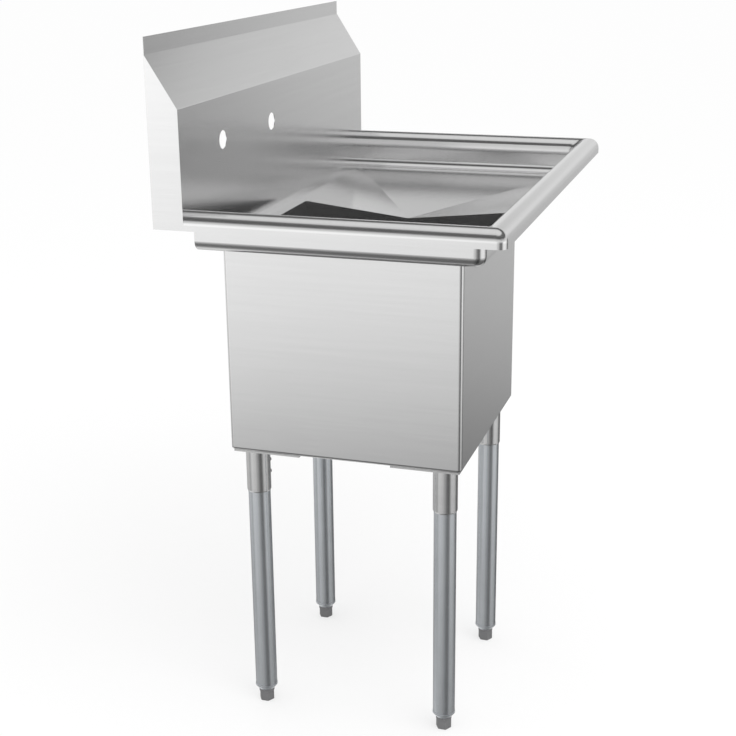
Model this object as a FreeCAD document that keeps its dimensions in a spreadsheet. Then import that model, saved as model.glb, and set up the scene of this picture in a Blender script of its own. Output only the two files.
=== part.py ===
import FreeCAD, Part
import Sketcher
import os
import re
from math import hypot, sqrt

# A free-standing sink in sheet metal: one deep bowl with a drainboard to its right, a backsplash with
# two faucet holes, a rolled rim on the other three sides, and four legs on adjustable feet.
# Millimetres. +X runs to the drainboard end, -Y to the user, +Z up. The origin is on the floor, at the
# middle of the overall width and depth.

SIZES = {
    # the whole sink
    "overall_width": 843.0,
    "overall_depth": 521.5,
    "overall_height": 1092.2,
    "gauge": 1.2,
    "overrun": 5.0,  # how far a form that cuts runs past what it cuts
    # the rolled rim
    "rim_height": 846.5,
    "rim_radius": 18.6,
    "rim_flat": 0.6,
    "rim_lip": 8.6,
    "rim_corner": 13.0,
    # the shallow pan inside the rim, and the drainboard's folded floor
    "pan_depth": 64.3,
    "pan_corner": 14.8,
    "pan_cove": 14.0,
    "ease_radius": 60.0,
    "ease_angle": 15.0,
    "fold_margin": 12.0,
    "fold_drop": 22.6,
    # the backsplash
    "splash_depth": 48.1,
    "flange_height": 24.4,
    "slope_rise": 74.6,
    "splash_bend": 2.4,
    "faucet_spacing": 203.2,
    "faucet_hole": 28.6,
    "faucet_rise": 81.4,
    # the bowl and its dished floor
    "bowl_width": 366.4,
    "bowl_length": 370.7,
    "bowl_depth": 326.2,
    "bowl_left": 75.2,
    "bowl_rear": 26.1,
    "bowl_corner": 6.0,
    "bowl_bend": 5.4,
    "dish_radius": 150.0,
    "dish_drop": 5.0,
    "recess_radius": 58.4,
    "recess_depth": 3.0,
    "drain_hole": 90.0,
    # gusset plates, leg sockets and their set screws
    "gusset_side": 112.0,
    "gusset_inset": 4.0,
    "gusset_tip": 22.0,
    "gusset_thick": 3.0,
    "leg_inset": 32.3,
    "socket_diameter": 38.4,
    "socket_wall": 1.2,
    "socket_length": 72.5,
    "socket_chamfer": 1.0,
    "screw_diameter": 6.0,
    "screw_clearance": 0.1,
    "screw_proud": 2.2,
    "screw_point": 1.2,
    "screw_drop": 25.0,
    "screw_pitch": 20.0,
    # leg tubes, their threaded inserts and the feet
    "tube_diameter": 35.4,
    "tube_wall": 1.2,
    "tube_headroom": 3.0,
    "insert_length": 32.0,
    "insert_collar": 36.2,
    "collar_height": 2.6,
    "cone_height": 7.2,
    "cone_foot": 25.2,
    "foot_height": 20.5,
    "foot_flats": 22.0,
    "foot_taper": 0.6,
    "foot_collar": 4.5,
    "foot_gap": 0.3,
    "stem_diameter": 12.0,
    "stem_clearance": 0.3,
    "stem_length": 38.0,
    # the basket strainer in the drain
    "strainer_flange": 112.0,
    "strainer_wall": 1.5,
    "strainer_seat": 8.0,
    "cup_radius": 41.0,
    "cup_depth": 40.0,
    "cup_taper": 3.0,
    "outlet_bore": 38.0,
    "outlet_thread": 47.6,
    "outlet_length": 18.0,
    "nut_radius": 54.0,
    "nut_height": 9.0,
    "nut_flange": 2.5,
    "nut_clearance": 0.3,
    "nut_lugs": 8,
    "gasket_radius": 56.0,
    "gasket_thick": 3.0,
    "ring_thick": 1.0,
    # the lift-out basket
    "basket_radius": 33.0,
    "basket_lift": 0.3,
    "basket_height": 27.0,
    "basket_wall": 1.0,
    "basket_hole": 6.0,
    "basket_hole_circle": 21.5,
    "basket_holes": 10,
    "slot_width": 4.0,
    "slot_length": 11.0,
    "slot_count": 12,
    "seal_radius": 24.0,
    "seal_thick": 5.0,
    "post_radius": 4.0,
    "post_height": 34.0,
    "knob_radius": 10.0,
    "knob_height": 9.0,
}

# Places that follow from the sizes. Each name can be used in a formula like a size.
PLACES = {
    "left": "-overall_width / 2",
    "right": "overall_width / 2",
    "front": "-overall_depth / 2",
    "wall": "overall_depth / 2",
    "face": "wall - splash_depth",
    "ease_shift": "(ease_radius - rim_radius) * (1 - cos(ease_angle))",
    "pan_inset": "2 * rim_radius + rim_flat + ease_shift",
    "lip": "rim_height - rim_radius - rim_lip",
    "deck": "rim_height - pan_depth",
    "slope_top": "overall_height - flange_height",
    "face_top": "slope_top - slope_rise",
    "slope_run": "splash_depth - gauge",
    "bend_shift": "gauge * tan(atan(slope_run / slope_rise) / 2)",
    "bowl_x": "left + bowl_left + bowl_width / 2",
    "bowl_y": "face - bowl_rear - bowl_length / 2",
    "bowl_under": "deck - bowl_depth",
    "bowl_floor": "bowl_under + gauge",
    "recess_floor": "bowl_floor - dish_drop - recess_depth",
    "recess_under": "recess_floor - gauge",
    "gusset_under": "bowl_under - gusset_thick",
    "socket_radius": "socket_diameter / 2",
    "socket_under": "gusset_under - socket_length",
    "tube_radius": "tube_diameter / 2",
    "tube_bore": "tube_radius - tube_wall",
    "insert_under": "foot_height + foot_gap",
    "tube_under": "insert_under + cone_height + collar_height",
    "tube_top": "gusset_under - tube_headroom",
    "flange_top": "recess_floor + strainer_wall",
    "cup_floor": "flange_top - cup_depth",
    "cup_under": "cup_floor - strainer_wall",
    "outlet_under": "cup_under - outlet_length",
    "cup_outer": "cup_radius + strainer_wall",
    "gasket_under": "recess_under - gasket_thick",
    "ring_under": "gasket_under - ring_thick",
    "basket_floor": "cup_floor + basket_lift + seal_thick",
    "basket_top": "basket_floor + basket_height",
    "post_top": "basket_floor + post_height",
}

# The four legs: the corner's name, its side of the bowl in X and Y, and its quarter turn.
CORNERS = [
    ("left_front", -1, -1, 0),
    ("right_front", 1, -1, 90),
    ("right_rear", 1, 1, 180),
    ("left_rear", -1, 1, 270),
]

# Points nearer than this count as the same when edges are picked.
NEAR = 0.01

doc = FreeCAD.newDocument("sink")
sheet = doc.addObject("Spreadsheet::Sheet", "Sizes")
for row, (alias, size) in enumerate(SIZES.items(), start=1):
    sheet.set(f"A{row}", alias)
    sheet.set(f"B{row}", str(size))
    sheet.setAlias(f"B{row}", alias)
doc.recompute()

parts = {}


# Formulas

def formula(text):
    """The text with every size and place spelled out as cells of the sheet."""
    def spell(match):
        word = match.group()
        if word in PLACES:
            return f"({formula(PLACES[word])})"
        if word in SIZES:
            return f"Sizes.{word}"
        return word
    return re.sub(r"[a-z_]+", spell, str(text))


def value(text):
    return float(sheet.evalExpression(formula(text)))


def bind(thing, **properties):
    for name, text in properties.items():
        thing.setExpression(name.replace("__", "."), formula(text))


def place(thing, x="0", y="0", z="0", turn=0):
    """Turns a piece about the vertical and moves it, bound to the sheet."""
    rotation = FreeCAD.Rotation(FreeCAD.Vector(0, 0, 1), turn)
    thing.Placement = FreeCAD.Placement(FreeCAD.Vector(value(x), value(y), value(z)), rotation)
    bind(thing, Placement__Base__x=x, Placement__Base__y=y, Placement__Base__z=z)


# Sketches and features

def new_body(name):
    return doc.addObject("PartDesign::Body", name)


def new_sketch(body, role, shift):
    sketch = body.newObject("Sketcher::SketchObject", "Outline")
    plane = next(f for f in body.Origin.OriginFeatures if f.Role == role)
    sketch.AttachmentSupport = [(plane, "")]
    sketch.MapMode = "FlatFace"
    bind(sketch, AttachmentOffset__Base__z=shift)
    return sketch


def bound(sketch, constraint, text):
    index = sketch.addConstraint(constraint)
    sketch.setExpression(f"Constraints[{index}]", formula(text))


def outline(body, role, corners, arcs=None, shift="0"):
    """A closed outline whose corners are pairs of formulas.

    arcs maps the number of a side to its radius and its turn: +1 bends it anticlockwise, -1 clockwise.
    """
    sketch = new_sketch(body, role, shift)
    arcs = arcs or {}
    points = [(value(x), value(y)) for x, y in corners]
    ends = []
    for side, (ax, ay) in enumerate(points):
        bx, by = points[(side + 1) % len(points)]
        if side not in arcs:
            line = Part.LineSegment(FreeCAD.Vector(ax, ay, 0), FreeCAD.Vector(bx, by, 0))
            ends.append((sketch.addGeometry(line), 1, 2))
            continue
        radius_text, turn = arcs[side]
        radius = value(radius_text)
        chord = hypot(bx - ax, by - ay)
        rise = turn * sqrt(max(radius ** 2 - chord ** 2 / 4, 0)) / chord
        middle_x = (ax + bx) / 2 - (by - ay) * rise
        middle_y = (ay + by) / 2 + (bx - ax) * rise
        circle = Part.Circle(FreeCAD.Vector(middle_x, middle_y, 0), FreeCAD.Vector(0, 0, 1), radius)
        start, stop = ((ax, ay), (bx, by)) if turn > 0 else ((bx, by), (ax, ay))
        first = circle.parameter(FreeCAD.Vector(*start, 0))
        last = circle.parameter(FreeCAD.Vector(*stop, 0))
        index = sketch.addGeometry(Part.ArcOfCircle(circle, first, last))
        ends.append((index, 1, 2) if turn > 0 else (index, 2, 1))
        bound(sketch, Sketcher.Constraint("Radius", index, radius), radius_text)
    for side, (index, start, stop) in enumerate(ends):
        follower, follower_start, _ = ends[(side + 1) % len(ends)]
        sketch.addConstraint(Sketcher.Constraint("Coincident", index, stop, follower, follower_start))
        x, y = points[side]
        bound(sketch, Sketcher.Constraint("DistanceX", -1, 1, index, start, x), corners[side][0])
        bound(sketch, Sketcher.Constraint("DistanceY", -1, 1, index, start, y), corners[side][1])
    return sketch


def circles(body, role, centres, radius, shift="0"):
    """Circles of one radius at the given centres."""
    sketch = new_sketch(body, role, shift)
    for x, y in centres:
        centre = FreeCAD.Vector(value(x), value(y), 0)
        index = sketch.addGeometry(Part.Circle(centre, FreeCAD.Vector(0, 0, 1), value(radius)))
        bound(sketch, Sketcher.Constraint("DistanceX", -1, 1, index, 3, centre.x), x)
        bound(sketch, Sketcher.Constraint("DistanceY", -1, 1, index, 3, centre.y), y)
        bound(sketch, Sketcher.Constraint("Radius", index, value(radius)), radius)
    return sketch


def pad(body, sketch, length):
    feature = body.newObject("PartDesign::Pad", "Pad")
    feature.Profile = sketch
    bind(feature, Length=length)
    doc.recompute()
    return feature


def pocket(body, sketch, length, both_ways=False, reverse=False):
    feature = body.newObject("PartDesign::Pocket", "Pocket")
    feature.Profile = sketch
    feature.Midplane = both_ways
    feature.Reversed = reverse
    bind(feature, Length=length)
    doc.recompute()
    return feature


def turned(body, corners, arcs=None, cut=False):
    """Turns an outline of radius and height about the body's upright axis, to add or to cut."""
    kind = "Groove" if cut else "Revolution"
    feature = body.newObject(f"PartDesign::{kind}", kind)
    sketch = outline(body, "XZ_Plane", corners, arcs)
    feature.Profile = sketch
    feature.ReferenceAxis = (sketch, ["V_Axis"])
    doc.recompute()
    return feature


def round_off(body, radius, wanted):
    """Rounds the edges of the body's last feature that the test wants."""
    base = body.Tip
    edges = [f"Edge{number}" for number, edge in enumerate(base.Shape.Edges, start=1) if wanted(edge)]
    feature = body.newObject("PartDesign::Fillet", "Fillet")
    feature.Base = (base, edges)
    bind(feature, Radius=radius)
    doc.recompute()
    return feature


def boolean(kind, name, base, tools):
    result = doc.addObject(f"Part::{kind}", name)
    if kind == "Cut":
        result.Base = base
        result.Tool = tools
    else:
        result.Shapes = [base] + tools
    doc.recompute()
    return result


def ends_of(edge):
    return [vertex.Point for vertex in edge.Vertexes]


def level_with(height):
    return lambda edge: all(abs(end.z - height) < NEAR for end in ends_of(edge))


def upright(edge):
    ends = ends_of(edge)
    return len(ends) == 2 and hypot(ends[0].x - ends[1].x, ends[0].y - ends[1].y) < NEAR


# The sink top: rolled rim, pan walls and folded drainboard floor in one sheet

def rim_form(name, inset, radius, under, crest, rear, corner, ease=None, cove=None):
    """A block across the whole top whose left, right and front edges are rounded along their length.

    The edges round over outwards, as the outside of the rim does, or with an easing radius they are
    flared, as the pan is where its walls run up through an easy bend into the rim. The mitred front
    corners are rounded to the corner radius.
    """
    bend = 1 if ease else -1
    if ease:
        over = f"({inset} - {radius} - ease_shift)"
        side = [
            (inset, under),
            (inset, f"{crest} - {radius} - ({ease} - {radius}) * sin(ease_angle)"),
            (f"({over} + {radius} * cos(ease_angle))", f"{crest} - {radius} * (1 - sin(ease_angle))"),
            (over, crest),
        ]
        radii = [ease, radius]
    else:
        over = f"({inset} + {radius})"
        side = [(inset, under), (inset, f"{crest} - {radius}"), (over, crest)]
        radii = [radius]
    last = len(side) - 1
    rising = {number: (size, bend) for number, size in enumerate(radii, start=1)}
    falling = {2 * last - number: arc for number, arc in rising.items()}
    body = new_body(name)
    across = outline(body, "XZ_Plane",
                     [(f"left + {x}", z) for x, z in side]
                     + [(f"right - {x}", z) for x, z in reversed(side)],
                     {**rising, **falling}, shift=f"-({rear})")
    pad(body, across, f"{rear} - front")
    ahead = outline(body, "YZ_Plane",
                    [(f"front + {inset}", f"{under} - overrun")]
                    + [(f"front + {y}", z) for y, z in side[1:]]
                    + [(f"front + {over}", f"{crest} + overrun"),
                       ("front - overrun", f"{crest} + overrun"),
                       ("front - overrun", f"{under} - overrun")],
                    rising)
    pocket(body, ahead, "2 * overall_width", both_ways=True)

    def on_mitre(edge):
        ends = ends_of(edge)
        from_side = [value("right") - abs(end.x) for end in ends]
        from_front = [end.y - value("front") for end in ends]
        offset = max(abs(a - b) for a, b in zip(from_side, from_front))
        return offset < NEAR and edge.BoundBox.ZLength > NEAR
    round_off(body, corner, on_mitre)

    def under_walls(edge):
        at_rear = all(abs(end.y - value(rear)) < NEAR for end in ends_of(edge))
        return level_with(value(under))(edge) and not at_rear
    if cove:
        round_off(body, cove, under_walls)
    return body


def fold(name, lowered):
    """The drainboard's floor as a solid below the pan: three folds fall to the bowl's edge."""
    wedge = doc.addObject("Part::Wedge", name)
    bind(wedge,
         Xmin="left + pan_inset + fold_margin", Xmax="right - pan_inset - fold_margin",
         Zmin="front + pan_inset + fold_margin", Zmax="face - fold_margin",
         Ymin="0", Ymax="fold_drop",
         X2min="bowl_x", X2max="bowl_x + bowl_width / 2", Z2min="bowl_y", Z2max="bowl_y")
    facing_down = FreeCAD.Rotation(FreeCAD.Vector(1, 0, 0), -90)
    level = f"deck - {lowered}"
    wedge.Placement = FreeCAD.Placement(FreeCAD.Vector(0, 0, value(level)), facing_down)
    bind(wedge, Placement__Base__z=level)
    doc.recompute()
    return wedge


def bowl_plan(body, grow, level):
    """The bowl's rectangle, grown or shrunk, at a level."""
    half_x = f"(bowl_width / 2 + {grow})"
    half_y = f"(bowl_length / 2 + {grow})"
    return outline(body, "XY_Plane", [
        (f"bowl_x - {half_x}", f"bowl_y - {half_y}"),
        (f"bowl_x + {half_x}", f"bowl_y - {half_y}"),
        (f"bowl_x + {half_x}", f"bowl_y + {half_y}"),
        (f"bowl_x - {half_x}", f"bowl_y + {half_y}"),
    ], shift=level)


rim_outside = rim_form("rim_outside", "0", "rim_radius", "lip", "rim_height", "face", "rim_corner")
rim_hollow = rim_form("rim_hollow", "gauge", "(rim_radius - gauge)", "(lip - overrun)",
                      "(rim_height - gauge)", "(face + overrun)", "rim_corner - gauge")
pan_inside = rim_form("pan_inside", "pan_inset", "rim_radius", "deck", "rim_height", "face",
                      "pan_corner", ease="ease_radius", cove="pan_cove")
pan_outside = rim_form("pan_outside", "(pan_inset - gauge)", "(rim_radius - gauge)", "(deck - gauge)",
                       "(rim_height - gauge)", "(face + gauge)", "pan_corner + gauge",
                       ease="(ease_radius - gauge)", cove="pan_cove + gauge")
fold_inside = fold("fold_inside", "0")
fold_outside = fold("fold_outside", "gauge")

bowl_mouth = new_body("bowl_mouth")
pad(bowl_mouth, bowl_plan(bowl_mouth, "(-gauge)", "deck - 2 * fold_drop"), "4 * fold_drop")
round_off(bowl_mouth, "bowl_corner - gauge", upright)

splash_gap = doc.addObject("Part::Box", "splash_gap")
bind(splash_gap, Length="overall_width", Width="splash_depth", Height="pan_depth",
     Placement__Base__x="left", Placement__Base__y="face", Placement__Base__z="lip")

below_deck = boolean("MultiFuse", "below_deck", pan_outside, [fold_outside])
above_deck = boolean("MultiFuse", "above_deck", pan_inside, [fold_inside])
under_rim = boolean("Cut", "under_rim", rim_hollow, pan_outside)
top_block = boolean("MultiFuse", "top_block", rim_outside, [below_deck])
top_pressed = boolean("Cut", "top_pressed", top_block, above_deck)
top_rolled = boolean("Cut", "top_rolled", top_pressed, under_rim)
top_joined = boolean("Cut", "top_joined", top_rolled, splash_gap)
parts["sink_top"] = boolean("Cut", "sink_top", top_joined, bowl_mouth)


# The bowl: a welded box whose floor dishes down to the recess round the drain hole

def bowl_form(name, grow, under, corner, bend):
    """A block of the bowl's plan with rounded upright corners and rounded lower edges."""
    body = new_body(name)
    pad(body, bowl_plan(body, grow, under), "bowl_depth")
    round_off(body, corner, upright)
    round_off(body, bend, level_with(value(under)))
    return body


def drain_dish(name, outline_corners):
    dish = new_body(name)
    turned(dish, outline_corners)
    place(dish, "bowl_x", "bowl_y")
    return dish


dish_metal = drain_dish("dish_metal", [
    ("0", "bowl_under + gauge / 2"),
    ("dish_radius", "bowl_under + gauge / 2"),
    ("dish_radius", "bowl_under"),
    ("recess_radius + gauge", "bowl_under - dish_drop"),
    ("recess_radius + gauge", "recess_under"),
    ("0", "recess_under"),
])
dish_hollow = drain_dish("dish_hollow", [
    ("0", "bowl_floor + gauge"),
    ("dish_radius", "bowl_floor + gauge"),
    ("dish_radius", "bowl_floor"),
    ("recess_radius", "bowl_floor - dish_drop"),
    ("recess_radius", "recess_floor"),
    ("drain_hole / 2", "recess_floor"),
    ("drain_hole / 2", "recess_under - gauge"),
    ("0", "recess_under - gauge"),
])
bowl_outside = bowl_form("bowl_outside", "0", "bowl_under", "bowl_corner", "bowl_bend")
bowl_inside = bowl_form("bowl_inside", "(-gauge)", "bowl_floor", "bowl_corner - gauge",
                        "bowl_bend - gauge")
bowl_hollow = boolean("MultiFuse", "bowl_hollow", bowl_inside, [dish_hollow])
bowl_with_dish = boolean("MultiFuse", "bowl_with_dish", bowl_outside, [dish_metal])
bowl_with_drain = boolean("Cut", "bowl_with_drain", bowl_with_dish, bowl_hollow)
parts["bowl"] = boolean("Cut", "bowl", bowl_with_drain, below_deck)


# The backsplash: face, slope and top flange folded from one sheet, and a flat cap at each end

def make_backsplash():
    body = new_body("backsplash")
    folded = outline(body, "YZ_Plane", [
        ("face", "lip"),
        ("face", "face_top"),
        ("wall - gauge", "slope_top"),
        ("wall - gauge", "overall_height"),
        ("wall", "overall_height"),
        ("wall", "slope_top - bend_shift"),
        ("face + gauge", "face_top - bend_shift"),
        ("face + gauge", "lip"),
    ], shift="left + gauge")
    pad(body, folded, "overall_width - 2 * gauge")

    def on_bend(y, z):
        def wanted(edge):
            middle = edge.CenterOfMass
            return hypot(middle.y - value(y), middle.z - value(z)) < NEAR
        return wanted
    round_off(body, "splash_bend", on_bend("face", "face_top"))
    round_off(body, "splash_bend", on_bend("wall", "slope_top - bend_shift"))
    hole_x = ["bowl_x - faucet_spacing / 2", "bowl_x + faucet_spacing / 2"]
    holes = circles(body, "XZ_Plane", [(x, "rim_height + faucet_rise") for x in hole_x],
                    "faucet_hole / 2", shift="-face")
    pocket(body, holes, "2 * overrun", both_ways=True)
    return body


def make_end_cap(side, start):
    body = new_body(f"end_cap_{side}")
    flat = outline(body, "YZ_Plane", [
        ("face", "lip"),
        ("face", "face_top"),
        ("wall - gauge", "slope_top"),
        ("wall", "slope_top"),
        ("wall", "lip"),
    ], shift=start)
    pad(body, flat, "gauge")
    return body


parts["backsplash"] = make_backsplash()
parts["end_cap_left"] = make_end_cap("left", "left")
parts["end_cap_right"] = make_end_cap("right", "right - gauge")


# Under each corner of the bowl: a gusset plate, a leg socket with two set screws, a leg tube, the
# threaded insert in its end, and the foot that screws into it

def make_gusset(name):
    body = new_body(name)
    plate = outline(body, "XY_Plane", [
        ("gusset_inset", "gusset_inset"),
        ("gusset_side", "gusset_inset"),
        ("gusset_side", "gusset_inset + gusset_tip / 2"),
        ("gusset_inset + gusset_tip / 2", "gusset_side"),
        ("gusset_inset", "gusset_side"),
    ], shift="gusset_under")
    pad(body, plate, "gusset_thick")
    return body


def make_socket(name):
    body = new_body(name)
    turned(body, [
        ("socket_radius - socket_wall", "socket_under"),
        ("socket_radius - socket_chamfer", "socket_under"),
        ("socket_radius", "socket_under + 2 * socket_chamfer"),
        ("socket_radius", "gusset_under"),
        ("socket_radius - socket_wall", "gusset_under"),
    ])
    heights = ["gusset_under - screw_drop", "gusset_under - screw_drop - screw_pitch"]
    holes = circles(body, "YZ_Plane", [("0", height) for height in heights],
                    "screw_diameter / 2 + screw_clearance")
    pocket(body, holes, "socket_diameter", reverse=True)
    return body


def make_screw(name, height):
    """A set screw along +X that bears on the tube and stands a little proud of the socket."""
    body = new_body(name)
    tip = "tube_radius"
    head = "socket_radius + screw_proud"
    shank = "screw_diameter / 2"
    turned(body, [
        ("0", tip),
        (shank, tip),
        (shank, f"{head} - screw_point"),
        (f"{shank} - screw_point", head),
        ("0", head),
    ])
    return body


def make_tube(name):
    body = new_body(name)
    turned(body, [
        ("tube_bore", "tube_under"),
        ("tube_radius", "tube_under"),
        ("tube_radius", "tube_top"),
        ("tube_bore", "tube_top"),
    ])
    return body


def make_insert(name):
    body = new_body(name)
    bore = "stem_diameter / 2 + stem_clearance"
    turned(body, [
        (bore, "insert_under"),
        ("cone_foot / 2", "insert_under"),
        ("insert_collar / 2", "insert_under + cone_height"),
        ("insert_collar / 2", "tube_under"),
        ("tube_bore", "tube_under"),
        ("tube_bore", "tube_under + insert_length"),
        (bore, "tube_under + insert_length"),
    ])
    return body


def make_foot(name):
    """A hexagonal foot with a tapered sole, a round collar on top and a threaded stem."""
    body = new_body(name)
    half_flat = "foot_flats / 2"
    corner = "foot_flats / sqrt(3)"
    hexagon = outline(body, "XY_Plane", [
        (half_flat, f"{corner} / 2"),
        ("0", corner),
        (f"-{half_flat}", f"{corner} / 2"),
        (f"-{half_flat}", f"-{corner} / 2"),
        ("0", f"-{corner}"),
        (half_flat, f"-{corner} / 2"),
    ])
    pad(body, hexagon, "foot_height - foot_collar")
    turned(body, [
        (f"{half_flat} - foot_taper / 2", "-foot_taper"),
        (f"{half_flat} - foot_taper / 2", "0"),
        (f"{corner} + foot_taper / 2", "2 * foot_taper"),
        (f"{corner} + foot_taper / 2", "-foot_taper"),
    ], cut=True)
    collar = circles(body, "XY_Plane", [("0", "0")], "cone_foot / 2",
                     shift="foot_height - foot_collar")
    pad(body, collar, "foot_collar")
    stem = circles(body, "XY_Plane", [("0", "0")], "stem_diameter / 2", shift="foot_height")
    pad(body, stem, "stem_length")
    return body


screws = []
for corner, side_x, side_y, turn in CORNERS:
    corner_x = f"bowl_x + {side_x} * bowl_width / 2"
    corner_y = f"bowl_y + {side_y} * bowl_length / 2"
    leg_x = f"bowl_x + {side_x} * (bowl_width / 2 - leg_inset)"
    leg_y = f"bowl_y + {side_y} * (bowl_length / 2 - leg_inset)"
    gusset = make_gusset(f"gusset_{corner}")
    place(gusset, corner_x, corner_y, turn=turn)
    parts[f"gusset_{corner}"] = gusset
    socket = make_socket(f"leg_socket_{corner}")
    place(socket, leg_x, leg_y, turn=turn + 45)
    parts[f"leg_socket_{corner}"] = socket
    for name, make in (("leg_tube", make_tube), ("foot_insert", make_insert), ("foot", make_foot)):
        piece = make(f"{name}_{corner}")
        place(piece, leg_x, leg_y)
        parts[f"{name}_{corner}"] = piece
    for rank in (0, 1):
        height = f"gusset_under - screw_drop - {rank} * screw_pitch"
        screw = make_screw(f"set_screw_{corner}_{rank + 1}", height)
        place(screw, leg_x, leg_y, height)
        inward = FreeCAD.Rotation(FreeCAD.Vector(0, 0, 1), turn + 45)
        lying = FreeCAD.Rotation(FreeCAD.Vector(0, 1, 0), 90)
        screw.Placement = FreeCAD.Placement(screw.Placement.Base, inward * lying)
        screws.append(screw)
set_screws = doc.addObject("Part::Compound", "set_screws")
set_screws.Links = screws
parts["set_screws"] = set_screws


# The basket strainer: a flanged cup clamped through the drain hole by a nut on a gasket

def drain_piece(name, corners):
    body = new_body(name)
    turned(body, corners)
    place(body, "bowl_x", "bowl_y")
    parts[name] = body
    return body


drain_piece("strainer_body", [
    ("outlet_bore / 2", "outlet_under"),
    ("outlet_thread / 2", "outlet_under"),
    ("outlet_thread / 2", "cup_under"),
    ("cup_outer - cup_taper", "cup_under"),
    ("cup_outer", "ring_under - nut_height"),
    ("cup_outer", "recess_floor"),
    ("strainer_flange / 2", "recess_floor"),
    ("strainer_flange / 2", "recess_floor + strainer_wall / 2"),
    ("strainer_flange / 2 - strainer_seat / 2", "flange_top"),
    ("cup_radius + strainer_wall / 2", "flange_top"),
    ("cup_radius", "flange_top - strainer_wall / 2"),
    ("cup_radius - cup_taper", "cup_floor"),
    ("outlet_bore / 2", "cup_floor"),
])
drain_piece("strainer_gasket", [
    ("cup_outer + nut_clearance", "gasket_under"),
    ("gasket_radius", "gasket_under"),
    ("gasket_radius", "recess_under"),
    ("cup_outer + nut_clearance", "recess_under"),
])
drain_piece("friction_ring", [
    ("cup_outer + nut_clearance", "ring_under"),
    ("gasket_radius", "ring_under"),
    ("gasket_radius", "gasket_under"),
    ("cup_outer + nut_clearance", "gasket_under"),
])


def make_locknut():
    """A ring nut with lugs round its skirt for a spanner."""
    body = drain_piece("strainer_locknut", [
        ("cup_outer + nut_clearance", "ring_under - nut_height"),
        ("nut_radius - nut_flange", "ring_under - nut_height"),
        ("nut_radius - nut_flange", "ring_under - nut_flange"),
        ("nut_radius", "ring_under - nut_flange"),
        ("nut_radius", "ring_under"),
        ("cup_outer + nut_clearance", "ring_under"),
    ])
    lug = outline(body, "XY_Plane", [
        ("nut_radius - 2 * nut_flange", "-nut_flange"),
        ("nut_radius", "-nut_flange"),
        ("nut_radius", "nut_flange"),
        ("nut_radius - 2 * nut_flange", "nut_flange"),
    ], shift="ring_under - nut_height")
    first = pad(body, lug, "nut_height")
    repeat_round(body, first, "nut_lugs")


def repeat_round(body, feature, count):
    pattern = body.newObject("PartDesign::PolarPattern", "Round")
    pattern.Originals = [feature]
    axis = next(f for f in body.Origin.OriginFeatures if f.Role == "Z_Axis")
    pattern.Axis = (axis, [""])
    pattern.Angle = 360
    bind(pattern, Occurrences=count)
    body.Tip = pattern
    doc.recompute()


def make_basket():
    """A thin cup with round holes in its floor and upright slots in its wall."""
    rim = "basket_radius + cup_taper"
    body = drain_piece("strainer_basket", [
        ("0", "basket_floor"),
        ("basket_radius", "basket_floor"),
        (rim, "basket_top - basket_wall"),
        (f"{rim} + basket_wall", "basket_top - basket_wall"),
        (f"{rim} + basket_wall", "basket_top"),
        (f"{rim} - basket_wall", "basket_top"),
        ("basket_radius - basket_wall", "basket_floor + basket_wall"),
        ("0", "basket_floor + basket_wall"),
    ])
    hole = circles(body, "XY_Plane", [("basket_hole_circle", "0")], "basket_hole / 2",
                   shift="basket_floor")
    repeat_round(body, pocket(body, hole, "2 * overrun", both_ways=True), "basket_holes")
    slot = outline(body, "YZ_Plane", [
        ("-slot_width / 2", "basket_floor + basket_height / 2 - slot_length / 2"),
        ("slot_width / 2", "basket_floor + basket_height / 2 - slot_length / 2"),
        ("slot_width / 2", "basket_floor + basket_height / 2 + slot_length / 2"),
        ("-slot_width / 2", "basket_floor + basket_height / 2 + slot_length / 2"),
    ])
    repeat_round(body, pocket(body, slot, "2 * basket_radius", reverse=True), "slot_count")


make_locknut()
make_basket()
drain_piece("basket_seal", [
    ("0", "basket_floor - seal_thick"),
    ("seal_radius - seal_thick / 2", "basket_floor - seal_thick"),
    ("seal_radius", "basket_floor - seal_thick / 2"),
    ("seal_radius - seal_thick / 3", "basket_floor"),
    ("0", "basket_floor"),
])
drain_piece("basket_knob", [
    ("0", "basket_floor + basket_wall"),
    ("post_radius", "basket_floor + basket_wall"),
    ("post_radius", "post_top"),
    ("knob_radius", "post_top + knob_height / 3"),
    ("knob_radius", "post_top + 2 * knob_height / 3"),
    ("knob_radius / 2", "post_top + knob_height"),
    ("0", "post_top + knob_height"),
])


# Checks and export

doc.recompute()
for thing in doc.Objects:
    if "Invalid" in thing.State or "Error" in thing.State:
        raise RuntimeError(f"{thing.Name} failed: {thing.State}")
os.makedirs("parts", exist_ok=True)
for name, thing in parts.items():
    thing.Label = name
    if thing.Shape.isNull() or not thing.Shape.isValid():
        raise RuntimeError(f"{name} has no valid shape")
for name, thing in parts.items():
    thing.Shape.exportStep(f"parts/{name}.step")
    print(f"{name}: {len(thing.Shape.Solids)} solids, {thing.Shape.Volume / 1000:.1f} cm3")
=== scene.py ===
from math import atan2, cos, pi, radians, sin

import bpy
from mathutils import Matrix, Vector


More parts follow.
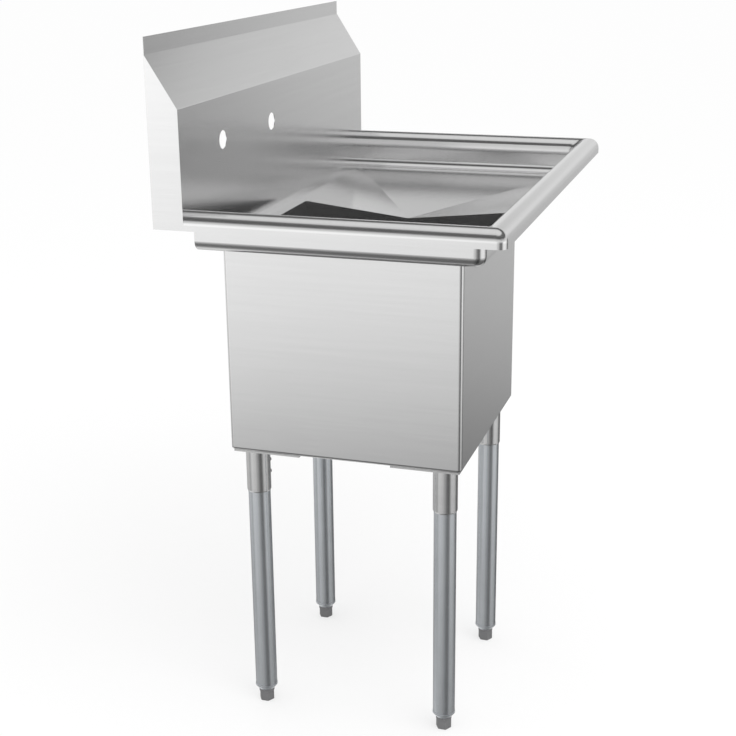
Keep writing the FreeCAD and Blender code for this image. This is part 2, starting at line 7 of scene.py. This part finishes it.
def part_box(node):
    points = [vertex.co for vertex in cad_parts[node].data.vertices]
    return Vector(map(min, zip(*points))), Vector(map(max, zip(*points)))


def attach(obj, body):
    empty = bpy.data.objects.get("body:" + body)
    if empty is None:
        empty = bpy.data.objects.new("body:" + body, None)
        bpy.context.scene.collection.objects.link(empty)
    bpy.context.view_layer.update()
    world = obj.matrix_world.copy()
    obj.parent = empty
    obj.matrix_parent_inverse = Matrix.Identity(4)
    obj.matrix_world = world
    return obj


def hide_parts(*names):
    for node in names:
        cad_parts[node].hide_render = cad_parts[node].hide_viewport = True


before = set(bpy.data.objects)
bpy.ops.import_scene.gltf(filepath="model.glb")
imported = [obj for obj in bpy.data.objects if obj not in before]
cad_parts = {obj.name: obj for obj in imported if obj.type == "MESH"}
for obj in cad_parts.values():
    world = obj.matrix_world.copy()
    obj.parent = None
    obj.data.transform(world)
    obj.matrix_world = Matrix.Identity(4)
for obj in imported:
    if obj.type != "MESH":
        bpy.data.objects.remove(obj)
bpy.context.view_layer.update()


# ---- The sink top --------------------------------------------------------------------------------
# One sheet of 18-gauge stainless: the rolled rim on three sides, the shallow pan and the folded
# drainboard that falls to the bowl. It is pressed and folded cold, and its corners are welded and
# ground back to the same satin grain as the sheet.

class Flow:
    """One value that runs through a finish's nodes. Sums on it add Math nodes to the same finish."""

    def __init__(self, finish, socket):
        self.finish = finish
        self.socket = socket

    def math(self, operation, first, second):
        return self.finish.node("ShaderNodeMath", {"operation": operation}, {0: first, 1: second})

    def __add__(self, other):
        return self.math("ADD", self, other)

    def __sub__(self, other):
        return self.math("SUBTRACT", self, other)

    def __mul__(self, other):
        return self.math("MULTIPLY", self, other)

    def __rsub__(self, other):
        return self.math("SUBTRACT", other, self)

    __radd__ = __add__
    __rmul__ = __mul__


class Finish:
    """A material with one Principled shader and the nodes that vary it over the surface."""

    def __init__(self, name, **constants):
        self.material = bpy.data.materials.new(name)
        self.material.use_nodes = True
        self.tree = self.material.node_tree
        self.shader = self.tree.nodes["Principled BSDF"]
        for socket, setting in constants.items():
            self.shader.inputs[socket.replace("_", " ")].default_value = setting

    def node(self, kind, settings=None, inputs=None, output=0):
        """Any node: its settings first, and then a value or a flow for each socket that is named."""
        made = self.tree.nodes.new(kind)
        for name, setting in (settings or {}).items():
            if name == "points":
                self.draw(made.mapping, setting)
            else:
                setattr(made, name, setting)
        for name, given in (inputs or {}).items():
            if isinstance(given, Flow):
                self.tree.links.new(given.socket, made.inputs[name])
            else:
                made.inputs[name].default_value = given
        return Flow(self, made.outputs[output])

    @staticmethod
    def draw(mapping, points):
        """Draws a curve through points, scaled so that it runs from -1 to 1."""
        reach = points[-1][0]
        curve = mapping.curves[0]
        curve.points[0].location = (-1, points[0][1])
        curve.points[1].location = (1, points[-1][1])
        for place, level in points[1:-1]:
            curve.points.new(place / reach, level)
        mapping.use_clip = False
        mapping.update()

    def feed(self, socket, flow):
        """Lets a flow drive a socket of the shader."""
        self.tree.links.new(flow.socket, self.shader.inputs[socket])

    def show(self, flow):
        """Puts another shader on the surface, in the place of this finish's own."""
        self.tree.links.new(flow.socket, self.tree.nodes["Material Output"].inputs["Surface"])

    def place(self):
        """Where the surface is, in metres along the sink's own axes."""
        return self.node("ShaderNodeTexCoord", output="Object")

    def stretched(self, place, scale):
        """The place stretched so that a noise read from it runs along one way."""
        return self.node("ShaderNodeVectorMath", {"operation": "MULTIPLY"}, {0: place, 1: scale})

    def noise(self, place, scale, detail, roughness=0.5):
        return self.node("ShaderNodeTexNoise", {"noise_dimensions": "3D"},
                         {"Vector": place, "Scale": scale, "Detail": detail, "Roughness": roughness})

    def facing(self, axis):
        """1 where the surface faces along an axis, 0 where it runs beside it."""
        normal = self.node("ShaderNodeNewGeometry", output="Normal")
        towards = self.node("ShaderNodeVectorMath", {"operation": "DOT_PRODUCT"},
                            {0: normal, 1: axis}, output="Value")
        return self.node("ShaderNodeMath", {"operation": "ABSOLUTE"}, {0: towards})

    def step(self, flow, low, high):
        """0 below low, 1 above high and smooth between them."""
        return self.node("ShaderNodeMapRange", {"interpolation_type": "SMOOTHSTEP"},
                         {"Value": flow, "From Min": low, "From Max": high})

    def blend(self, share, first, second):
        """Between two plain values by a share."""
        return self.node("ShaderNodeMix", {"data_type": "FLOAT"},
                         {"Factor": share, "A": first, "B": second})

    def tint(self, share, first, second):
        """Between two colours by a share."""
        return self.node("ShaderNodeMix", {"data_type": "RGBA"},
                         {0: share, 6: (*first, 1), 7: (*second, 1)}, output=2)

    def bump(self, height, strength, distance):
        return self.node("ShaderNodeBump", None,
                         {"Height": height, "Strength": strength, "Distance": distance})


def dress(nodes, finish):
    """Puts a finish on nodes of the frame whose own shape is kept."""
    for name in nodes:
        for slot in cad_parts[name].material_slots:
            slot.material = finish.material


def grained_steel(name, dark, light, roughness, grain_pitch, grain_depth, **constants):
    """Stainless with a ground satin grain: level along the walls, and from end to end on the flats."""
    steel = Finish(name, Metallic=0.96, **constants)
    place = steel.place()
    flat = steel.step(steel.facing((0, 0, 1)), 0.5, 0.8)

    def streaks(along, across, detail, coarse):
        """Streaks by how many there are in a metre along the grain and across it."""
        on_walls = steel.stretched(place, (along, along, across))
        on_flats = steel.stretched(place, (along, across, along))
        return steel.blend(flat, steel.noise(on_walls, 1, detail, coarse),
                           steel.noise(on_flats, 1, detail, coarse))

    grain = streaks(9, 1 / grain_pitch, 3, 0.6)
    drift = streaks(2.5, 1 / grain_pitch / 9, 2, 0.5)
    cloud = steel.noise(place, 7, 2)
    shade = steel.step(grain * 0.45 + drift * 0.3 + cloud * 0.25, 0.3, 0.7)
    steel.feed("Base Color", steel.tint(shade, dark, light))
    steel.feed("Roughness", (grain - 0.5) * 0.06 + (cloud - 0.5) * 0.04 + roughness)
    steel.feed("Normal", steel.bump(grain, 0.12, grain_depth))
    return steel


satin_sheet = grained_steel("satin_stainless_sheet", (0.75, 0.75, 0.75), (0.79, 0.79, 0.79),
                            roughness=0.17, grain_pitch=0.0009, grain_depth=0.000006)
dress(["sink_top"], satin_sheet)


# ---- The backsplash ------------------------------------------------------------------------------
# A second sheet, folded to a face, a slope and an upright flange that lies on the wall. Two holes
# take a wall faucet. A flat cap is welded into each end and dressed flush.

dress(["backsplash", "end_cap_left", "end_cap_right"], satin_sheet)


# ---- The bowl ------------------------------------------------------------------------------------
# A deep box folded and welded from the same sheet, hung under the sink top. Its floor is dished to
# a pressed recess round the drain hole.

dress(["bowl"], satin_sheet)


# ---- The gussets and leg sockets -----------------------------------------------------------------
# A stainless plate under each corner of the bowl carries a short turned sleeve. A small rippled bead
# runs round the sleeve, and two short ones hold the plate along its slanted inner edge.

CORNERS = ("left_front", "right_front", "right_rear", "left_rear")
turned_sleeve = grained_steel("turned_stainless_sleeve", (0.8, 0.8, 0.8), (0.86, 0.86, 0.86),
                              roughness=0.22, grain_pitch=0.0006, grain_depth=0.000004,
                              Anisotropic=0.85, Anisotropic_Rotation=0.25)
dress([f"gusset_{corner}" for corner in CORNERS], satin_sheet)
dress([f"leg_socket_{corner}" for corner in CORNERS], turned_sleeve)


class Upright:
    """The upright axis of a node, its radius, and its lowest and highest levels."""

    def __init__(self, node):
        low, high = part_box(node)
        self.x = (low[0] + high[0]) / 2
        self.y = (low[1] + high[1]) / 2
        self.radius = (high[0] - low[0]) / 2
        self.bottom = low[2]
        self.top = high[2]


def piece_of(name, points, faces):
    """A piece with a mesh of its own under the same name."""
    mesh = bpy.data.meshes.new(name)
    mesh.from_pydata(points, [], faces)
    piece = bpy.data.objects.new(name, mesh)
    bpy.context.scene.collection.objects.link(piece)
    return piece


def spin(rings, sides, closed=False):
    """The points of rings spun about an upright axis, and the faces between them.

    A ring is a height and a radius, or a rule that gives the radius at an angle. The rings run up the
    outside, and a closed outline runs back to its first ring.
    """
    points, faces = [], []
    for height, reach in rings:
        for side in range(sides):
            angle = 2 * pi * side / sides
            radius = reach(angle) if callable(reach) else reach
            points.append((radius * cos(angle), radius * sin(angle), height))
    count = len(rings)
    for ring in range(count if closed else count - 1):
        below, above = ring * sides, (ring + 1) % count * sides
        for side in range(sides):
            after = (side + 1) % sides
            faces.append((below + side, below + after, above + after, above + side))
    return points, faces


def spun(name, rings, sides, closed=False):
    """A smooth piece spun from rings. Its two ends are capped unless its outline is closed."""
    points, faces = spin(rings, sides, closed)
    if not closed:
        faces.append(tuple(reversed(range(sides))))
        faces.append(tuple(range(len(points) - sides, len(points))))
    piece = piece_of(name, points, faces)
    piece.data.shade_smooth()
    piece.data.set_sharp_from_angle(angle=radians(32))
    return piece


def fit(piece, finish, body, slot, *stands_for):
    """Gives a piece its finish and fixes it to a body, in the place of CAD nodes if any are named."""
    piece.data.materials.append(finish.material)
    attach(piece, body)
    if stands_for:
        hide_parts(*stands_for)


def weld_metal():
    """Brushed weld metal, tinted by its heat and lightly rippled."""
    weld = Finish("brushed_weld_metal", Metallic=1.0)
    heat = weld.noise(weld.place(), 240, 2)
    weld.feed("Base Color", weld.tint(weld.step(heat, 0.35, 0.65), (0.5, 0.48, 0.45), (0.66, 0.65, 0.63)))
    weld.feed("Roughness", heat * 0.2 + 0.25)
    weld.feed("Normal", weld.bump(heat, 0.3, 0.0001))
    return weld


def ring_bead(name, tube_radius, bead, ripples):
    """A weld bead of a radius that lies round a tube."""
    def reach_at(turn):
        return lambda angle: tube_radius + bead * cos(turn) * (1 + 0.14 * sin(ripples * angle))

    turns = [2 * pi * step / 8 for step in range(8)]
    return spun(name, [(bead * sin(turn), reach_at(turn)) for turn in turns], 144, closed=True)


def straight_bead(name, length, bead, ripples):
    """A short weld bead, thick along its middle and thin at its ends."""
    rings, steps = [], 40
    for step in range(steps + 1):
        share = step / steps
        swell = min(1.0, 6 * share + 0.15, 6 * (1 - share) + 0.15)
        ripple = 1 + 0.1 * sin(2 * pi * share * ripples)
        rings.append(((share - 0.5) * length, bead * swell * ripple))
    return spun(name, rings, 12)


welds = weld_metal()
SOCKET_BEAD, SOCKET_BEAD_SUNK, SOCKET_RIPPLES = 0.0009, 0.0002, 40
RUN_LENGTH, RUN_FROM_MIDDLE, RUN_BEAD, RUN_SUNK, RUN_RIPPLES = 0.026, 0.026, 0.0013, 0.0006, 10
GUSSET_TIP = 0.011
for corner in CORNERS:
    socket = Upright(f"leg_socket_{corner}")
    bead = ring_bead(f"socket_weld_{corner}", socket.radius, SOCKET_BEAD, SOCKET_RIPPLES)
    bead.location = (socket.x, socket.y, socket.top - SOCKET_BEAD_SUNK)
    fit(bead, welds, "frame", "stainless")
    low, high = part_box(f"gusset_{corner}")
    outer_x, to_x = (low[0], 1) if "left" in corner else (high[0], -1)
    outer_y, to_y = (low[1], 1) if "front" in corner else (high[1], -1)
    halfway = (high[0] - low[0] + GUSSET_TIP) / 2
    for run, along in ((1, -RUN_FROM_MIDDLE), (2, RUN_FROM_MIDDLE)):
        bead = straight_bead(f"gusset_weld_{corner}_{run}", RUN_LENGTH, RUN_BEAD, RUN_RIPPLES)
        bead.rotation_euler = (0, pi / 2, atan2(-to_y, to_x))
        bead.location = (outer_x + to_x * (halfway + along), outer_y + to_y * (halfway - along),
                         high[2] - RUN_SUNK)
        fit(bead, welds, "frame", "stainless")


# ---- The set screws ------------------------------------------------------------------------------
# Two M6 socket set screws in each sleeve, on the side that faces the middle of the bowl. They are
# plain oiled steel with a hexagon socket in the end, and they clamp the leg.

def hexagon(half_flat, rounded=1.0):
    """The radius of a hexagon at an angle, with its corners cut back to a share of their reach."""
    def reach(angle):
        from_flat = (angle + pi / 6) % (pi / 3) - pi / 6
        return min(half_flat / cos(from_flat), rounded * half_flat / cos(pi / 6))
    return reach


def mottled(name, dark, light, scale, roughness, spread=0.2, detail=3, pits=0.0, **constants):
    """A machined, cast or moulded finish: a faint mottle in colour and gloss, and its pits if any."""
    skin = Finish(name, **constants)
    mottle = skin.noise(skin.place(), scale, detail)
    skin.feed("Base Color", skin.tint(mottle, dark, light))
    skin.feed("Roughness", mottle * spread + roughness)
    if pits:
        skin.feed("Normal", skin.bump(mottle, 0.4, pits))
    return skin


oiled_screw = mottled("oiled_steel_screw", (0.1, 0.1, 0.1), (0.3, 0.3, 0.3),
                      scale=500, roughness=0.3, Metallic=1.0)
SCREW_RADIUS, SCREW_LENGTH, SCREW_POINT, SCREW_PROUD = 0.003, 0.0037, 0.0006, 0.0022
SCREW_PITCH, SCREW_GROOVE, SCREW_STEPS = 0.001, 0.0003, 21
KEY_HALF_FLAT, KEY_DEPTH = 0.0015, 0.0018
SCREW_DROPS = (0.025, 0.045)
screw_rings = [(0.0, SCREW_RADIUS - SCREW_POINT), (SCREW_POINT, SCREW_RADIUS)]
for step in range(1, SCREW_STEPS + 1):
    rise = SCREW_POINT + (SCREW_LENGTH - 2 * SCREW_POINT) * step / SCREW_STEPS
    groove = SCREW_GROOVE * (0.5 - 0.5 * cos(2 * pi * rise / SCREW_PITCH))
    screw_rings.append((rise, SCREW_RADIUS - groove))
screw_rings += [(SCREW_LENGTH, SCREW_RADIUS - SCREW_POINT), (SCREW_LENGTH, hexagon(KEY_HALF_FLAT)),
                (SCREW_LENGTH - KEY_DEPTH, hexagon(KEY_HALF_FLAT))]
for quarter, corner in enumerate(CORNERS):
    socket = Upright(f"leg_socket_{corner}")
    inward = pi / 4 + quarter * pi / 2
    point_at = socket.radius + SCREW_PROUD - SCREW_LENGTH
    for rank, drop in enumerate(SCREW_DROPS, 1):
        screw = spun(f"set_screw_{corner}_{rank}", screw_rings, 24)
        screw.location = (socket.x + point_at * cos(inward), socket.y + point_at * sin(inward),
                          socket.top - drop)
        screw.rotation_euler = (0, pi / 2, inward)
        fit(screw, oiled_screw, "frame", "screw_steel", "set_screws")


# ---- The legs ------------------------------------------------------------------------------------
# Galvanised steel tube with a threaded insert pressed into its lower end. The zinc is smooth, blue
# grey and faintly clouded, with draw lines along the tube.

def zinc_coat(name, roughness, **constants):
    """Zinc over drawn steel: fine upright lines and a slow cloud of blue grey."""
    zinc = Finish(name, Metallic=0.9, **constants)
    place = zinc.place()
    lines = zinc.noise(zinc.stretched(place, (500, 500, 4)), 1, 2)
    cloud = zinc.noise(zinc.stretched(place, (1, 1, 0.4)), 55, 3)
    shade = zinc.step(lines * 0.5 + cloud * 0.5, 0.25, 0.75)
    zinc.feed("Base Color", zinc.tint(shade, (0.73, 0.76, 0.79), (0.78, 0.81, 0.84)))
    zinc.feed("Roughness", cloud * 0.03 + roughness)
    zinc.feed("Normal", zinc.bump(lines, 0.05, 0.00001))
    return zinc


zinc_tube = zinc_coat("zinc_coated_tube", 0.23, Anisotropic=0.85, Anisotropic_Rotation=0.25)
zinc_insert = zinc_coat("zinc_coated_insert", 0.36)
dress([f"leg_tube_{corner}" for corner in CORNERS], zinc_tube)
dress([f"foot_insert_{corner}" for corner in CORNERS], zinc_insert)


# ---- The feet ------------------------------------------------------------------------------------
# Hexagonal feet moulded in grey nylon with a round collar and a dished sole, on a zinc-plated M12
# stem. They screw in and out of the inserts to level the sink.

def grey_nylon():
    """Moulded nylon: soft flow marks in its colour and gloss, over fine pores."""
    nylon = Finish("moulded_grey_nylon", Specular_IOR_Level=0.4)
    place = nylon.place()
    flow_marks = nylon.noise(nylon.stretched(place, (60, 60, 160)), 1, 3)
    pores = nylon.noise(place, 1400, 2)
    nylon.feed("Base Color", nylon.tint(flow_marks, (0.155, 0.155, 0.158), (0.2, 0.2, 0.204)))
    nylon.feed("Roughness", flow_marks * 0.16 + 0.42)
    nylon.feed("Normal", nylon.bump(pores, 0.25, 0.00005))
    return nylon


nylon_foot = grey_nylon()
plated_stem = mottled("plated_steel_stem", (0.56, 0.57, 0.58), (0.68, 0.69, 0.7),
                      scale=300, roughness=0.2, spread=0.15, detail=2, Metallic=1.0)
HALF_FLAT, ROUNDED, COLLAR, NECK, FOOT = 0.011, 0.985, 0.0126, 0.016, 0.0205
EDGE, NECK_EDGE, SOLE_DISH, DISH_DEPTH, STEM_HOLE = 0.0006, 0.0004, 0.0068, 0.0012, 0.0062
foot_rings = [
    (DISH_DEPTH, SOLE_DISH - EDGE), (0.0, SOLE_DISH), (0.0, hexagon(HALF_FLAT - EDGE, ROUNDED)),
    (EDGE, hexagon(HALF_FLAT, ROUNDED)), (NECK - NECK_EDGE, hexagon(HALF_FLAT, ROUNDED)),
    (NECK, hexagon(HALF_FLAT - NECK_EDGE, ROUNDED)), (NECK, COLLAR - NECK_EDGE),
    (NECK + NECK_EDGE, COLLAR), (FOOT - EDGE, COLLAR), (FOOT, COLLAR - EDGE), (FOOT, STEM_HOLE),
    (FOOT - 0.001, STEM_HOLE - 0.0004)]
STEM_RADIUS, STEM_TOP, STEM_SUNK, STEM_PLAIN = 0.0059, 0.0585, 0.0008, 0.0015
PITCH, GROOVE, STEPS = 0.00175, 0.0009, 6


def thread_at(height):
    """The radius round a stem at a height, on a single-start thread."""
    def reach(angle):
        share = (height / PITCH - angle / (2 * pi)) % 1
        return STEM_RADIUS - GROOVE * (1 - abs(2 * share - 1))
    return reach


stem_rings = [(FOOT - STEM_SUNK, STEM_RADIUS - GROOVE)]
for step in range(int((STEM_TOP - STEM_PLAIN - FOOT) / PITCH * STEPS)):
    level = FOOT + step * PITCH / STEPS
    stem_rings.append((level, thread_at(level)))
stem_rings += [(STEM_TOP - 0.001, STEM_RADIUS - GROOVE), (STEM_TOP, STEM_RADIUS - 2 * GROOVE)]
for corner in CORNERS:
    node = Upright(f"foot_{corner}")
    foot = spun(f"moulded_foot_{corner}", foot_rings, 72)
    stem = spun(f"foot_stem_{corner}", stem_rings, 30)
    for piece in (foot, stem):
        piece.location = (node.x, node.y, node.bottom)
    fit(foot, nylon_foot, f"foot_{corner}", "foot_plastic", f"foot_{corner}")
    fit(stem, plated_stem, f"foot_{corner}", "screw_steel")


# ---- The basket strainer -------------------------------------------------------------------------
# A stainless cup clamped through the drain hole by a die-cast nut on a rubber gasket and a fibre
# ring. The perforated basket lifts out of it by its turned knob.

bright_steel = grained_steel("bright_stainless_strainer", (0.74, 0.74, 0.74), (0.8, 0.8, 0.8),
                             roughness=0.16, grain_pitch=0.0008, grain_depth=0.000003)
cast_zinc = mottled("die_cast_zinc", (0.42, 0.42, 0.41), (0.58, 0.58, 0.57),
                    scale=320, roughness=0.3, pits=0.00006, Metallic=0.9)
black_rubber = mottled("black_rubber", (0.015, 0.015, 0.015), (0.035, 0.035, 0.035),
                       scale=260, roughness=0.6, pits=0.00005)
brown_fibre = mottled("pressed_brown_fibre", (0.2, 0.11, 0.055), (0.34, 0.21, 0.12),
                      scale=420, roughness=0.7, pits=0.00008)
dress(["strainer_body", "strainer_basket"], bright_steel)
dress(["strainer_locknut"], cast_zinc)
dress(["strainer_gasket", "basket_seal"], black_rubber)
dress(["friction_ring"], brown_fibre)

node = Upright("basket_knob")
tall = node.top - node.bottom
KNOB_FOOT, KNOB_NECK, KNOB_HEAD, KNOB_FLAT = 0.006, 0.004, 0.0098, 0.0018
knob_rings = [(0.0, KNOB_FOOT), (0.0008, KNOB_FOOT), (0.0016, KNOB_NECK), (tall * 0.58, KNOB_NECK),
              (tall * 0.72, 0.0046), (tall * 0.8, 0.0075), (tall * 0.85, 0.0096)]
for step in range(1, 8):
    turn = step / 8 * pi / 2
    knob_rings.append((tall * 0.87 + tall * 0.13 * sin(turn), KNOB_HEAD * cos(turn) ** 0.6))
knob_rings.append((tall, KNOB_FLAT))
knob = spun("turned_basket_knob", knob_rings, 64)
knob.location = (node.x, node.y, node.bottom)
fit(knob, bright_steel, "basket", "drain_steel", "basket_knob")


# ---- The studio ----------------------------------------------------------------------------------
# A pale floor that runs out of sight, an even white room and one large soft lamp overhead. A tent
# of cloth, seen only in reflections, gives the metal its bright and dark bands.

FLOOR, WHITENED = 60, 0.62
floor = piece_of("studio_floor", [(-FLOOR, -FLOOR, 0), (FLOOR, -FLOOR, 0), (FLOOR, FLOOR, 0),
                                  (-FLOOR, FLOOR, 0)], [(0, 1, 2, 3)])
pale_floor = Finish("pale_floor", Base_Color=(0.96, 0.96, 0.96, 1), Roughness=0.9,
                    Specular_IOR_Level=0.0)
seen_by_camera = pale_floor.node("ShaderNodeLightPath", output="Is Camera Ray")
lit_floor = Flow(pale_floor, pale_floor.shader.outputs["BSDF"])
plain_white = pale_floor.node("ShaderNodeEmission", None, {"Color": (1, 1, 1, 1), "Strength": 1.0})
pale_floor.show(pale_floor.node("ShaderNodeMixShader", None,
                                {0: seen_by_camera * WHITENED, 1: lit_floor, 2: plain_white}))
floor.data.materials.append(pale_floor.material)
floor.visible_glossy = False

room = bpy.data.worlds.new("white_room")
bpy.context.scene.world = room
room.use_nodes = True
backdrop = room.node_tree.nodes["Background"]
backdrop.inputs["Color"].default_value = (1, 1, 1, 1)
backdrop.inputs["Strength"].default_value = 1.0

LAMP_AT, LAMP_AIM = Vector((-1.0, -1.5, 3.2)), Vector((0, 0, 0.6))
lamp = bpy.data.objects.new("soft_lamp", bpy.data.lights.new("soft_lamp", "AREA"))
lamp.data.shape = "DISK"
lamp.data.size = 2.5
lamp.data.energy = 30
lamp.location = LAMP_AT
lamp.rotation_euler = (LAMP_AIM - LAMP_AT).to_track_quat("-Z", "Y").to_euler()
lamp.visible_glossy = False
bpy.context.scene.collection.objects.link(lamp)

TENT_RADIUS, TENT_MIDDLE, TENT_RINGS, TENT_SIDES = 9.0, 0.75, 24, 48
TENT_LIGHT, FAR_FLOOR_LIGHT = 1.1, 0.66
BACK_X, BACK_Y = 0.77, 0.64
# How bright the tent is by its lift, in degrees above and below its middle
LIGHT_BY_LIFT = [
    (-90, 0.12), (-50, 0.12), (-40, 0.14), (-34, 0.18), (-28, 0.3), (-23, 0.5), (-18, 0.78),
    (-12, 0.98), (-8, 1.02), (-3, 1.15), (2, 1.12), (6, 0.94), (10, 0.78), (15, 0.66), (20, 0.6),
    (24, 0.43), (28, 0.14), (33, 0.08), (45, 0.09), (52, 0.12), (56, 0.3), (60, 0.63), (70, 0.73),
    (90, 0.73)]
# What its lower part is multiplied by, by its turn, in degrees round from the sink's right end
SHARE_BY_TURN = [
    (-180, 0.7), (-172, 0.6), (-160, 0.38), (-148, 0.18), (-137, 0.13), (-127, 0.3), (-117, 0.7),
    (-107, 0.93), (-95, 0.94), (-84, 0.92), (-73, 0.84), (-59, 0.42), (-48, 0.18), (-40, 0.15),
    (-30, 0.24), (-22, 0.4), (-17, 0.49), (-8, 0.5), (4, 0.56), (20, 0.7), (50, 0.86), (68, 0.9),
    (92, 0.88), (104, 0.75), (115, 0.62), (126, 0.8), (140, 1.06), (150, 1.03), (158, 0.96),
    (168, 0.92), (180, 0.7)]


def tent_cloth():
    """Cloth that glows by its lift and its turn, with the pale floor far behind the sink below it."""
    cloth = Finish("tent_cloth", Base_Color=(0, 0, 0, 1), Specular_IOR_Level=0.0,
                   Emission_Strength=1.0)
    from_middle = cloth.node("ShaderNodeVectorMath", {"operation": "SUBTRACT"},
                             {0: cloth.place(), 1: (0, 0, TENT_MIDDLE)})
    way = cloth.node("ShaderNodeVectorMath", {"operation": "NORMALIZE"}, {0: from_middle})
    along_x, along_y, along_z = (cloth.node("ShaderNodeSeparateXYZ", None, {0: way}, output=axis)
                                 for axis in ("X", "Y", "Z"))
    lift = cloth.node("ShaderNodeMath", {"operation": "ARCSINE"}, {0: along_z})
    turn = cloth.node("ShaderNodeMath", {"operation": "ARCTAN2"}, {0: along_y, 1: along_x})
    by_lift = cloth.node("ShaderNodeFloatCurve", {"points": LIGHT_BY_LIFT}, {"Value": lift * (2 / pi)})
    share = cloth.node("ShaderNodeFloatCurve", {"points": SHARE_BY_TURN}, {"Value": turn * (1 / pi)})
    lower_part = cloth.step(lift, radians(13), radians(-1))
    by_turn = 1 + lower_part * (share - 1)
    behind_sink = cloth.step(along_x * BACK_X + along_y * BACK_Y, -0.14, 0.4)
    far_floor = cloth.step(along_z, -0.55, -0.66) * behind_sink
    cloth.feed("Emission Color", by_lift * by_turn * TENT_LIGHT + far_floor * FAR_FLOOR_LIGHT)
    return cloth


tent_lifts = [radians(-90 + 180 * ring / TENT_RINGS) for ring in range(TENT_RINGS + 1)]
tent_rings = [(TENT_MIDDLE + TENT_RADIUS * sin(lift), TENT_RADIUS * cos(lift)) for lift in tent_lifts]
tent = piece_of("reflection_tent", *spin(tent_rings, TENT_SIDES))
tent.data.materials.append(tent_cloth().material)
tent.visible_camera = tent.visible_diffuse = tent.visible_shadow = False
tent.visible_transmission = tent.visible_volume_scatter = False


# ---- The camera ----------------------------------------------------------------------------------
# It stands off the sink's left end, a little above the backsplash, and looks down on the sink with
# a short telephoto lens. It is rolled very slightly, and its shift is a few pixels of the frame.

EYE = Vector((-2.2068, -0.6327, 1.2497))
LOOK_ROUND, LOOK_UP, ROLL = radians(17.5357), radians(-18.0728), radians(-0.6)
FRAME, SHIFT_RIGHT, SHIFT_UP = 736, -2.9, -1.3
ahead = Vector((cos(LOOK_UP) * cos(LOOK_ROUND), cos(LOOK_UP) * sin(LOOK_ROUND), sin(LOOK_UP)))
beside = ahead.cross(Vector((0, 0, 1))).normalized()
above = beside.cross(ahead)
right = beside * cos(ROLL) + above * sin(ROLL)
up = above * cos(ROLL) - beside * sin(ROLL)
camera = bpy.data.objects.new("camera", bpy.data.cameras.new("camera"))
camera.matrix_world = Matrix.Translation(EYE) @ Matrix((right, up, -ahead)).transposed().to_4x4()
camera.data.sensor_width = 36
camera.data.lens = 67.66
camera.data.shift_x = SHIFT_RIGHT / FRAME
camera.data.shift_y = SHIFT_UP / FRAME
camera.data.clip_end = 200
bpy.context.scene.collection.objects.link(camera)
bpy.context.scene.camera = camera
bpy.context.scene.view_settings.view_transform = "Standard"
